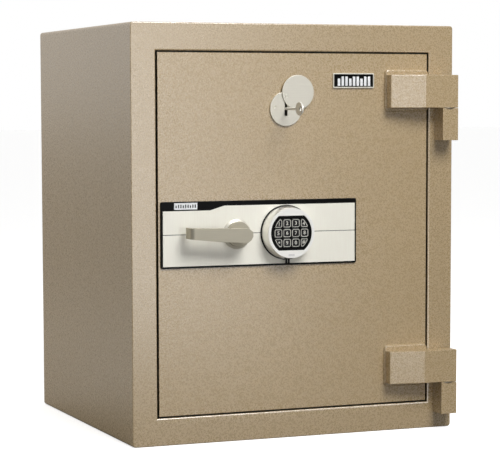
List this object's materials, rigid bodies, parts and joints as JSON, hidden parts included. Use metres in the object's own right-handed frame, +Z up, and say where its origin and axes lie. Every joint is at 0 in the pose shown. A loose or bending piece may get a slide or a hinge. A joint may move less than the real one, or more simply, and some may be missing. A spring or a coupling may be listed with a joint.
{
  "type": "fire-resistant document safe",
  "caption": "Fire-resistant document safe with external crank hinges, a key lock with swing cover, a round electronic keypad and a lever handle driving sliding bolts.",
  "frame": {"origin": "centre of the body's footprint on the floor", "axes": "+X to the hinge side as seen from the front, +Y into the safe, away from the viewer, +Z up"},
  "size_m": [0.564, 0.5725, 0.67],
  "materials": {
    "casing_paint": "champagne hammertone paint, semi-gloss",
    "inner_paint": "smooth beige-grey paint",
    "fire_fill": "cast mineral fill",
    "seal": "swelling fire seal strip",
    "plain_steel": "zinc-plated steel",
    "bright_bolt": "bright plated steel bar",
    "brass": "turned",
    "lock_case": "cast lock case",
    "satin_nickel": "satin nickel",
    "escutcheon_metal": "light satin nickel",
    "panel_satin": "fine satin, nearly white",
    "black_plastic": "black",
    "keypad_metal": "satin silver",
    "key_plastic": "black with a pale outline and grey figure"
  },
  "bodies": {
    "cabinet": {"outer_casing": "casing_paint", "rear_panel": "inner_paint", "body_fire_fill": "fire_fill", "liner_sides": "inner_paint", "liner_top_bottom": "inner_paint", "liner_back": "inner_paint", "door_jamb": "inner_paint", "door_seal": "seal", "hinge_posts": "casing_paint", "hinge_pins": "plain_steel", "shelf": "inner_paint", "shelf_clips": "plain_steel", "anchor_sleeves": "plain_steel"},
    "door": {"door_plate": "casing_paint", "door_pan": "inner_paint", "door_fire_fill": "fire_fill", "door_back_cover": "inner_paint", "hardplate": "plain_steel", "hinge_leaves": "casing_paint", "hinge_pads": "casing_paint", "fascia_backplate": "black_plastic", "fascia_panel": "panel_satin", "badge_bezel": "escutcheon_metal", "badge_plate": "black_plastic", "key_escutcheon": "escutcheon_metal", "escutcheon_fixings": "plain_steel", "handle_rose": "escutcheon_metal", "spindle_bush": "brass", "bolt_guides": "plain_steel", "dog_bar": "plain_steel", "keylock_case": "lock_case", "elock_case": "lock_case", "keypad_base": "black_plastic", "keypad_housing": "keypad_metal", "keypad_inset": "black_plastic"},
    "handle": {"handle_lever": "satin_nickel", "handle_spindle": "plain_steel", "cam_plate": "plain_steel"},
    "boltwork": {"bolt_bar": "plain_steel", "bar_rivets": "plain_steel", "locking_bolts": "bright_bolt"},
    "key_body": {"lockkey_bow": "escutcheon_metal", "lockkey_shank": "escutcheon_metal", "lockkey_bits": "escutcheon_metal"},
    "keylock_bolt_body": {"keylock_bolt": "plain_steel"},
    "elock_bolt_body": {"elock_bolt": "plain_steel"},
    "cover_body": {"escutcheon_cover": "escutcheon_metal"},
    "drawer_body": {"battery_drawer": "black_plastic"},
    "button_1": {"key_1": "key_plastic"},
    "button_2": {"key_2": "key_plastic"},
    "button_3": {"key_3": "key_plastic"},
    "button_4": {"key_4": "key_plastic"},
    "button_5": {"key_5": "key_plastic"},
    "button_6": {"key_6": "key_plastic"},
    "button_7": {"key_7": "key_plastic"},
    "button_8": {"key_8": "key_plastic"},
    "button_clear": {"key_clear": "key_plastic"},
    "button_9": {"key_9": "key_plastic"},
    "button_0": {"key_0": "key_plastic"},
    "button_enter": {"key_enter": "key_plastic"}
  },
  "joints": [
    {"name": "door_swing", "type": "hinge", "parent": "cabinet", "child": "door", "pos_m": [0.262, -0.271, 0.335], "axis": [0, 0, 1], "range_deg": [0, 180]},
    {"name": "handle_turn", "type": "hinge", "parent": "door", "child": "handle", "pos_m": [-0.106, -0.251, 0.335], "axis": [0, 1, 0], "range_deg": [-90, 0]},
    {"name": "bolt_bar_slide", "type": "slide", "parent": "door", "child": "boltwork", "axis": [1, 0, 0], "range_m": [-0.0251, 0]},
    {"name": "key_turn", "type": "hinge", "parent": "door", "child": "key_body", "pos_m": [-0.02, -0.251, 0.534], "axis": [0, 1, 0], "range_deg": [-181, 0]},
    {"name": "keylock_bolt_slide", "type": "slide", "parent": "door", "child": "keylock_bolt_body", "axis": [0, 0, 1], "range_m": [-0.012, 0]},
    {"name": "elock_bolt_slide", "type": "slide", "parent": "door", "child": "elock_bolt_body", "axis": [0, 0, -1], "range_m": [-0.012, 0]},
    {"name": "cover_swing", "type": "hinge", "parent": "door", "child": "cover_body", "pos_m": [-0.02, -0.251, 0.5548], "axis": [0, 1, 0], "range_deg": [-152, 0]},
    {"name": "battery_drawer_slide", "type": "slide", "parent": "door", "child": "drawer_body", "axis": [0, 0, -1], "range_m": [0, 0.045]},
    {"name": "press_1", "type": "slide", "parent": "door", "child": "button_1", "axis": [0, 1, 0], "range_m": [0, 0.001], "stiffness_N_per_m": 600},
    {"name": "press_2", "type": "slide", "parent": "door", "child": "button_2", "axis": [0, 1, 0], "range_m": [0, 0.001], "stiffness_N_per_m": 600},
    {"name": "press_3", "type": "slide", "parent": "door", "child": "button_3", "axis": [0, 1, 0], "range_m": [0, 0.001], "stiffness_N_per_m": 600},
    {"name": "press_4", "type": "slide", "parent": "door", "child": "button_4", "axis": [0, 1, 0], "range_m": [0, 0.001], "stiffness_N_per_m": 600},
    {"name": "press_5", "type": "slide", "parent": "door", "child": "button_5", "axis": [0, 1, 0], "range_m": [0, 0.001], "stiffness_N_per_m": 600},
    {"name": "press_6", "type": "slide", "parent": "door", "child": "button_6", "axis": [0, 1, 0], "range_m": [0, 0.001], "stiffness_N_per_m": 600},
    {"name": "press_7", "type": "slide", "parent": "door", "child": "button_7", "axis": [0, 1, 0], "range_m": [0, 0.001], "stiffness_N_per_m": 600},
    {"name": "press_8", "type": "slide", "parent": "door", "child": "button_8", "axis": [0, 1, 0], "range_m": [0, 0.001], "stiffness_N_per_m": 600},
    {"name": "press_clear", "type": "slide", "parent": "door", "child": "button_clear", "axis": [0, 1, 0], "range_m": [0, 0.001], "stiffness_N_per_m": 600},
    {"name": "press_9", "type": "slide", "parent": "door", "child": "button_9", "axis": [0, 1, 0], "range_m": [0, 0.001], "stiffness_N_per_m": 600},
    {"name": "press_0", "type": "slide", "parent": "door", "child": "button_0", "axis": [0, 1, 0], "range_m": [0, 0.001], "stiffness_N_per_m": 600},
    {"name": "press_enter", "type": "slide", "parent": "door", "child": "button_enter", "axis": [0, 1, 0], "range_m": [0, 0.001], "stiffness_N_per_m": 600}
  ],
  "couplings": [
    {"joint": "bolt_bar_slide", "follows": "handle_turn", "m_per_rad": 0.015915},
    {"joint": "key_turn", "follows": "keylock_bolt_slide", "rad_per_m": 261.8}
  ]
}
